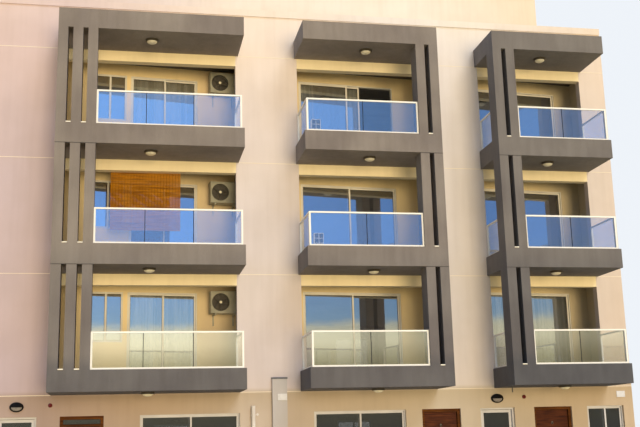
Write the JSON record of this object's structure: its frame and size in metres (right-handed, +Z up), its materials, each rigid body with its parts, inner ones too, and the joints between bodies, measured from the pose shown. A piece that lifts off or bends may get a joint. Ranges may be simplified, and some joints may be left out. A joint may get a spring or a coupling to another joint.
{
  "type": "apartment block",
  "caption": "Flat-roofed apartment block with recessed balconies, dark fin columns, glass balustrades, street doors that swing inward and a set-back top storey",
  "frame": {"origin": "on the ground, under the middle of the block's box, balconies included", "axes": "+X to the right along the street front, +Y into the building, +Z up"},
  "size_m": [16.93, 13.465, 16.175],
  "materials": {
    "concrete": "bare concrete floor slab",
    "cream_render": "cream painted render, fine sand texture",
    "dark_render": "grey-brown textured render",
    "door_stone": "honed limestone",
    "white_frame": "white powder coat on aluminium",
    "window_pane": "tinted double glazing",
    "guard_pane": "clear laminated glass",
    "brown_wood": "stained and varnished timber",
    "hinge_steel": "satin steel",
    "lamp_body": "opal lens in a dark rim",
    "unit_casing": "off-white painted sheet",
    "bamboo": "split cane, oiled",
    "curtain_cloth": "light woven curtain"
  },
  "bodies": {
    "block": {"floor_slabs": "concrete", "penthouse_roof": "concrete", "party_wall_left": "cream_render", "party_wall_right": "cream_render", "street_wall": "cream_render", "doorway_lintels": "cream_render", "door_thresholds": "door_stone", "facade_piers": "cream_render", "loggia_lintels": "cream_render", "terrace_parapet": "cream_render", "rear_wall": "cream_render", "penthouse_front_wall": "cream_render", "loggia_side_walls": "cream_render", "loggia_back_walls_left": "cream_render", "loggia_back_walls_middle": "cream_render", "loggia_back_walls_right": "cream_render", "balcony_door_frames_left": "white_frame", "balcony_door_frames_middle": "white_frame", "balcony_door_frames_right": "white_frame", "balcony_door_glass": "window_pane", "balconies_left": "dark_render", "balconies_middle": "dark_render", "balconies_right": "dark_render", "blade_columns": "dark_render", "window_frames": "white_frame", "window_glass": "window_pane", "wood_door_jambs": "brown_wood", "wood_door_heads": "brown_wood", "fanlight_glass": "window_pane", "glazed_door_jambs": "white_frame", "glazed_door_heads": "white_frame", "door_hinges": "hinge_steel", "balustrade_fronts": "white_frame", "balustrade_sides": "white_frame", "balustrade_glass": "guard_pane", "bulkhead_lamps": "lamp_body", "air_units": "unit_casing", "bamboo_blind": "bamboo", "curtains": "curtain_cloth", "street_duct": "cream_render"},
    "wood_leaf_left": {"wood_door_left": "brown_wood"},
    "wood_leaf_middle": {"wood_door_middle": "brown_wood"},
    "wood_leaf_right": {"wood_door_right": "brown_wood"},
    "glazed_leaf_left": {"glazed_door_left": "white_frame", "glazed_door_glass_left": "window_pane"},
    "glazed_leaf_middle": {"glazed_door_middle": "white_frame", "glazed_door_glass_middle": "window_pane"}
  },
  "joints": [
    {"name": "wood_leaf_left_hinge", "type": "hinge", "parent": "block", "child": "wood_leaf_left", "pos_m": [-6.52, -5.0891, 1.2], "axis": [0, 0, 1], "range_deg": [0, 90]},
    {"name": "wood_leaf_middle_hinge", "type": "hinge", "parent": "block", "child": "wood_leaf_middle", "pos_m": [2.607, -5.0891, 1.2], "axis": [0, 0, 1], "range_deg": [0, 90]},
    {"name": "wood_leaf_right_hinge", "type": "hinge", "parent": "block", "child": "wood_leaf_right", "pos_m": [5.694, -5.0891, 1.2], "axis": [0, 0, 1], "range_deg": [0, 90]},
    {"name": "glazed_leaf_left_hinge", "type": "hinge", "parent": "block", "child": "glazed_leaf_left", "pos_m": [-8.036, -5.0791, 1.2], "axis": [0, 0, 1], "range_deg": [0, 90]},
    {"name": "glazed_leaf_middle_hinge", "type": "hinge", "parent": "block", "child": "glazed_leaf_middle", "pos_m": [4.169, -5.0791, 1.2], "axis": [0, 0, 1], "range_deg": [0, 90]}
  ]
}
